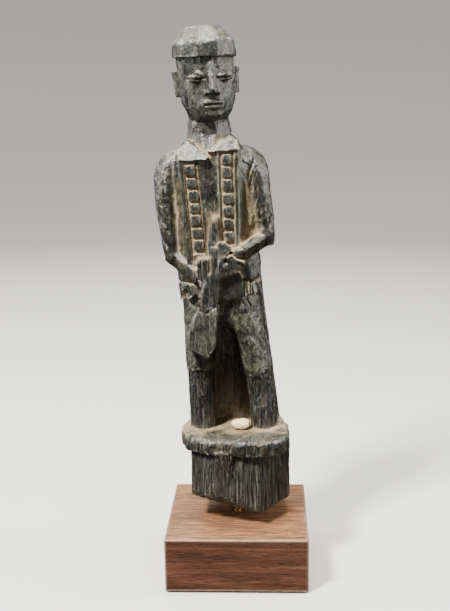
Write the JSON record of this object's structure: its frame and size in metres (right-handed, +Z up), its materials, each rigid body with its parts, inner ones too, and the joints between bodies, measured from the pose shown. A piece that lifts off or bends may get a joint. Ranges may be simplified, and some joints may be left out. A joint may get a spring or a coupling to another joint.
{
  "type": "carved ancestor figure",
  "caption": "Standing carved wooden figure in cap and pouch jacket holding a rifle, on a rough block, lifted on a brass rod above a square hardwood base.",
  "frame": {"origin": "centre of the base's underside, on the axis of the mounting rod", "axes": "+Z up along the mounting rod; the figure faces -Y and its left hand is towards +X"},
  "size_m": [0.068, 0.065, 0.2505],
  "materials": {
    "patinated_wood": "dark handled patina with a dull sheen on the high points and dry tan dust in the cuts",
    "white_clay": "dry chalky white clay",
    "brass": "plain drawn rod, lightly dulled",
    "aged_brass": "darkened brass",
    "base_hardwood": "oiled reddish brown hardwood, open grain running side to side",
    "felt": "thin dark felt"
  },
  "bodies": {
    "base": {"display_base": "base_hardwood", "socket_bush": "aged_brass", "felt_sheet": "felt"},
    "rod": {"mounting_rod": "brass"},
    "figure": {"carved_figure": "patinated_wood", "clay_lump": "white_clay"}
  },
  "joints": [
    {"name": "swivel", "type": "hinge", "parent": "base", "child": "rod", "pos_m": [0, 0, 0.026], "axis": [0, 0, 1], "continuous": true},
    {"name": "lift_off", "type": "slide", "parent": "rod", "child": "figure", "axis": [0, 0, 1], "range_m": [0, 0.024]}
  ]
}
